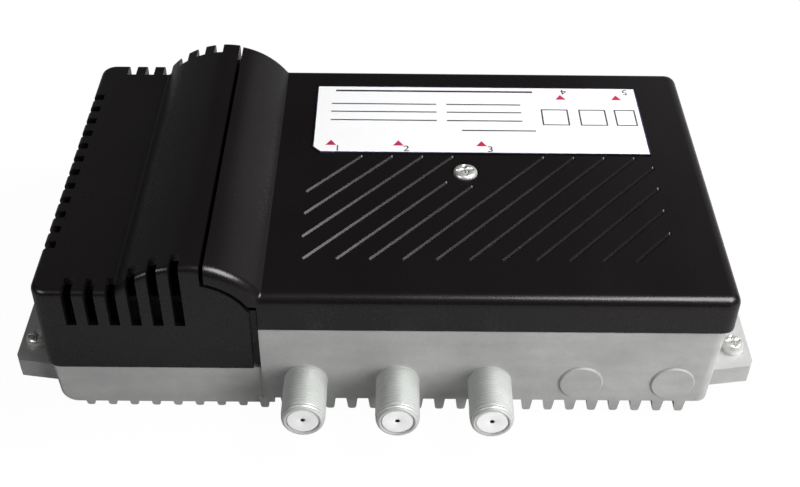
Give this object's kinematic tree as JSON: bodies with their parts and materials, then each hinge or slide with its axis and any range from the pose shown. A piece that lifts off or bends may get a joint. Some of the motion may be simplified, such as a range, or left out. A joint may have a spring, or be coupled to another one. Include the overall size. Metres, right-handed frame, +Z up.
{
  "type": "tv signal amplifier",
  "caption": "Low finned die-cast box with threaded coaxial ports front and rear, corner lugs, a flat black lid with a printed plate and a vented hump cover over its mains side.",
  "frame": {"origin": "centre of the bounding box's bottom face, on the plane of the fin tips", "axes": "+X along the casing towards the amplifier side, +Y from the input side to the rear, +Z up"},
  "size_m": [0.1644, 0.1114, 0.041],
  "materials": {
    "cast_metal": "as-cast, matt",
    "cover_plastic": "fine satin",
    "label_film": "printed film",
    "zinc_steel": "zinc plated",
    "barrel_plate": "turned, plated",
    "white_plastic": "moulded",
    "contact_brass": "plated",
    "board_laminate": "solder resist",
    "tinned_sheet": "tinned",
    "control_plastic": "moulded",
    "rotor_plastic": "moulded",
    "black_moulding": "moulded",
    "copper_wire": "enamelled",
    "can_sleeve": "shrink sleeve",
    "ferrite": "matt",
    "fuse_glass": "clear",
    "bare_aluminium": "sheet"
  },
  "bodies": {
    "base": {"amplifier_module": "tinned_sheet", "board_capacitors": "can_sleeve", "choke": "ferrite", "feed_switch_1": "tinned_sheet", "feed_switch_2": "tinned_sheet", "feed_switch_3": "tinned_sheet", "filter_coils": "copper_wire", "filter_fence": "tinned_sheet", "fuse": "fuse_glass", "fuse_clips": "zinc_steel", "gain_control_1": "control_plastic", "gain_control_2": "control_plastic", "gain_control_3": "control_plastic", "heat_sink": "bare_aluminium", "housing": "cast_metal", "inlet_pins": "zinc_steel", "link_pins": "contact_brass", "link_strip": "black_moulding", "lug_screws": "zinc_steel", "main_board": "board_laminate", "main_board_screws": "zinc_steel", "mains_capacitor": "can_sleeve", "mains_inlet": "black_moulding", "output_capacitor": "can_sleeve", "output_coupler": "ferrite", "port_barrel_1": "barrel_plate", "port_barrel_2": "barrel_plate", "port_barrel_3": "barrel_plate", "port_barrel_4": "barrel_plate", "port_barrel_5": "barrel_plate", "port_contact_1": "contact_brass", "port_contact_2": "contact_brass", "port_contact_3": "contact_brass", "port_contact_4": "contact_brass", "port_contact_5": "contact_brass", "port_insulator_1": "white_plastic", "port_insulator_2": "white_plastic", "port_insulator_3": "white_plastic", "port_insulator_4": "white_plastic", "port_insulator_5": "white_plastic", "power_board": "board_laminate", "power_board_screws": "zinc_steel", "power_cover": "cover_plastic", "power_cover_screws": "zinc_steel", "rectifier": "black_moulding", "regulator": "black_moulding", "shield_plate": "tinned_sheet", "shield_screws": "zinc_steel", "transformer_core": "ferrite", "transformer_winding": "copper_wire"},
    "lid": {"main_cover": "cover_plastic", "rating_label": "label_film"},
    "lid_screw": {"cover_screw": "zinc_steel"},
    "gain_knob_1": {"gain_rotor_1": "rotor_plastic"},
    "feed_knob_1": {"feed_slider_1": "black_moulding"},
    "gain_knob_2": {"gain_rotor_2": "rotor_plastic"},
    "feed_knob_2": {"feed_slider_2": "black_moulding"},
    "gain_knob_3": {"gain_rotor_3": "rotor_plastic"},
    "feed_knob_3": {"feed_slider_3": "black_moulding"}
  },
  "joints": [
    {"name": "lid_lift", "type": "slide", "parent": "base", "child": "lid", "axis": [0, 0, 1], "range_m": [0, 0.05]},
    {"name": "lid_screw_turn", "type": "hinge", "parent": "lid", "child": "lid_screw", "pos_m": [0.0182, 0, 0.033], "axis": [0, 0, 1], "continuous": true},
    {"name": "gain_turn_1", "type": "hinge", "parent": "base", "child": "gain_knob_1", "pos_m": [-0.0172, -0.021, 0.016], "axis": [0, 0, 1], "range_deg": [-117, 117]},
    {"name": "gain_turn_2", "type": "hinge", "parent": "base", "child": "gain_knob_2", "pos_m": [0.0028, -0.021, 0.016], "axis": [0, 0, 1], "range_deg": [-117, 117]},
    {"name": "gain_turn_3", "type": "hinge", "parent": "base", "child": "gain_knob_3", "pos_m": [0.0228, -0.021, 0.016], "axis": [0, 0, 1], "range_deg": [-117, 117]},
    {"name": "feed_slide_1", "type": "slide", "parent": "base", "child": "feed_knob_1", "axis": [1, 0, 0], "range_m": [0, 0.002]},
    {"name": "feed_slide_2", "type": "slide", "parent": "base", "child": "feed_knob_2", "axis": [1, 0, 0], "range_m": [0, 0.002]},
    {"name": "feed_slide_3", "type": "slide", "parent": "base", "child": "feed_knob_3", "axis": [1, 0, 0], "range_m": [0, 0.002]}
  ]
}
